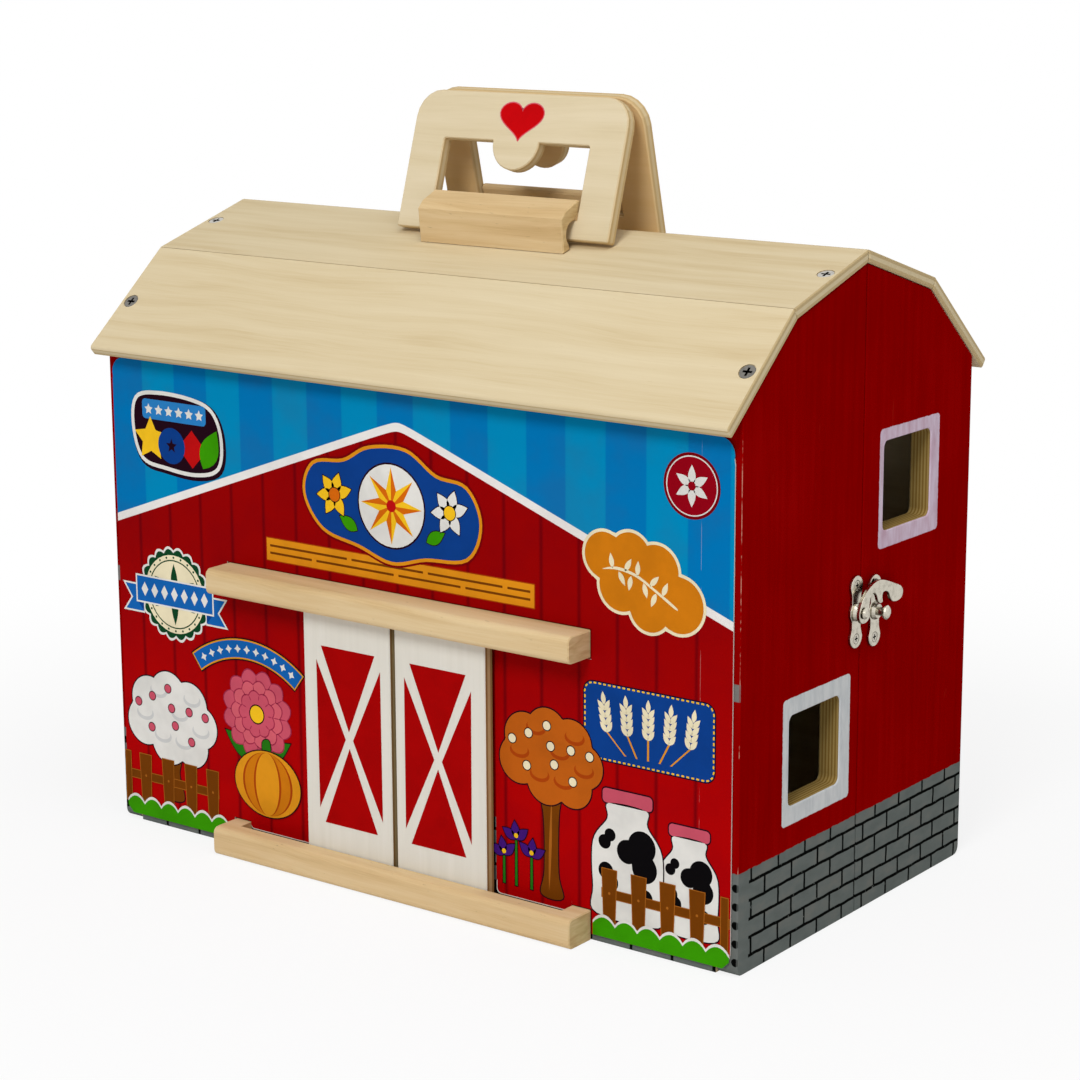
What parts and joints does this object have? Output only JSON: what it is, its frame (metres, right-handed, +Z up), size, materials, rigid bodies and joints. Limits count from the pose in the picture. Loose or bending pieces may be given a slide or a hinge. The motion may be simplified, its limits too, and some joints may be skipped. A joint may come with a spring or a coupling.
{
  "type": "toy barn with opening doors",
  "caption": "Folding toy barn with a broken-pitch roof, sliding front doors, gable windows, a swing latch, side hinges, a hay loft and fold-down carrying handles.",
  "frame": {"origin": "bottom centre of the bounding box, level with the underside", "axes": "+X along the ridge towards the gable with the windows and latch, -Y out of the front with the doors, +Z up"},
  "size_m": [0.353, 0.2088, 0.3374],
  "materials": {
    "handle_ply": "bare pale plywood",
    "nickel": "polished nickel plate",
    "pine": "bare sanded pine",
    "plywood": "bare birch plywood",
    "printed_card": "laminated printed card",
    "red_paint": "red brushed paint over plywood",
    "white_paint": "white satin paint over plywood",
    "zinc": "bright zinc plate"
  },
  "bodies": {
    "front_half": {"front_card": "printed_card", "front_floor": "plywood", "front_handle_block": "pine", "front_left_gable": "red_paint", "front_lower_roof": "plywood", "front_lower_roof_screw_left": "zinc", "front_lower_roof_screw_right": "zinc", "front_right_gable": "red_paint", "front_upper_roof": "plywood", "front_upper_roof_screw_left": "zinc", "front_upper_roof_screw_right": "zinc", "front_wall": "red_paint", "hook_plate_screw_lower": "nickel", "hook_plate_screw_upper": "nickel", "latch_hook_plate": "nickel", "latch_rivet": "nickel", "lower_door_rail": "pine", "lower_hinge_front_leaf": "zinc", "lower_hinge_front_leaf_screw_1": "nickel", "lower_hinge_front_leaf_screw_2": "nickel", "lower_hinge_pin": "zinc", "upper_door_rail": "pine", "upper_hinge_front_leaf": "zinc", "upper_hinge_front_leaf_screw_1": "nickel", "upper_hinge_front_leaf_screw_2": "nickel", "upper_hinge_pin": "zinc"},
    "back_half": {"back_floor": "plywood", "back_handle_block": "pine", "back_left_gable": "red_paint", "back_lower_roof": "plywood", "back_lower_roof_screw_left": "zinc", "back_lower_roof_screw_right": "zinc", "back_right_gable": "red_paint", "back_upper_roof": "plywood", "back_upper_roof_screw_left": "zinc", "back_upper_roof_screw_right": "zinc", "back_wall": "red_paint", "catch_plate_screw_lower": "nickel", "catch_plate_screw_upper": "nickel", "hay_loft": "plywood", "latch_catch_plate": "nickel", "lower_hinge_back_leaf": "zinc", "lower_hinge_back_leaf_screw_1": "nickel", "lower_hinge_back_leaf_screw_2": "nickel", "upper_hinge_back_leaf": "zinc", "upper_hinge_back_leaf_screw_1": "nickel", "upper_hinge_back_leaf_screw_2": "nickel"},
    "left_door": {"left_door": "white_paint"},
    "right_door": {"right_door": "white_paint"},
    "front_handle": {"front_handle": "handle_ply"},
    "back_handle": {"back_handle": "handle_ply"},
    "latch_hook": {"latch_hook": "nickel"}
  },
  "joints": [
    {"name": "back_half_hinge", "type": "hinge", "parent": "front_half", "child": "back_half", "pos_m": [-0.17398, 0.00245, 0], "axis": [0, 0, 1], "range_deg": [0, 180]},
    {"name": "left_door_slide", "type": "slide", "parent": "front_half", "child": "left_door", "axis": [-1, 0, 0], "range_m": [0, 0.0394]},
    {"name": "right_door_slide", "type": "slide", "parent": "front_half", "child": "right_door", "axis": [1, 0, 0], "range_m": [0, 0.0394]},
    {"name": "front_handle_hinge", "type": "hinge", "parent": "front_half", "child": "front_handle", "pos_m": [-0.00118, -0.01575, 0.28078], "axis": [1, 0, 0], "range_deg": [0, 127]},
    {"name": "back_handle_hinge", "type": "hinge", "parent": "back_half", "child": "back_handle", "pos_m": [-0.00118, 0.02065, 0.28078], "axis": [-1, 0, 0], "range_deg": [0, 123]},
    {"name": "latch_hook_pivot", "type": "hinge", "parent": "front_half", "child": "latch_hook", "pos_m": [0.17292, -0.00285, 0.132], "axis": [1, 0, 0], "range_deg": [0, 75]}
  ]
}
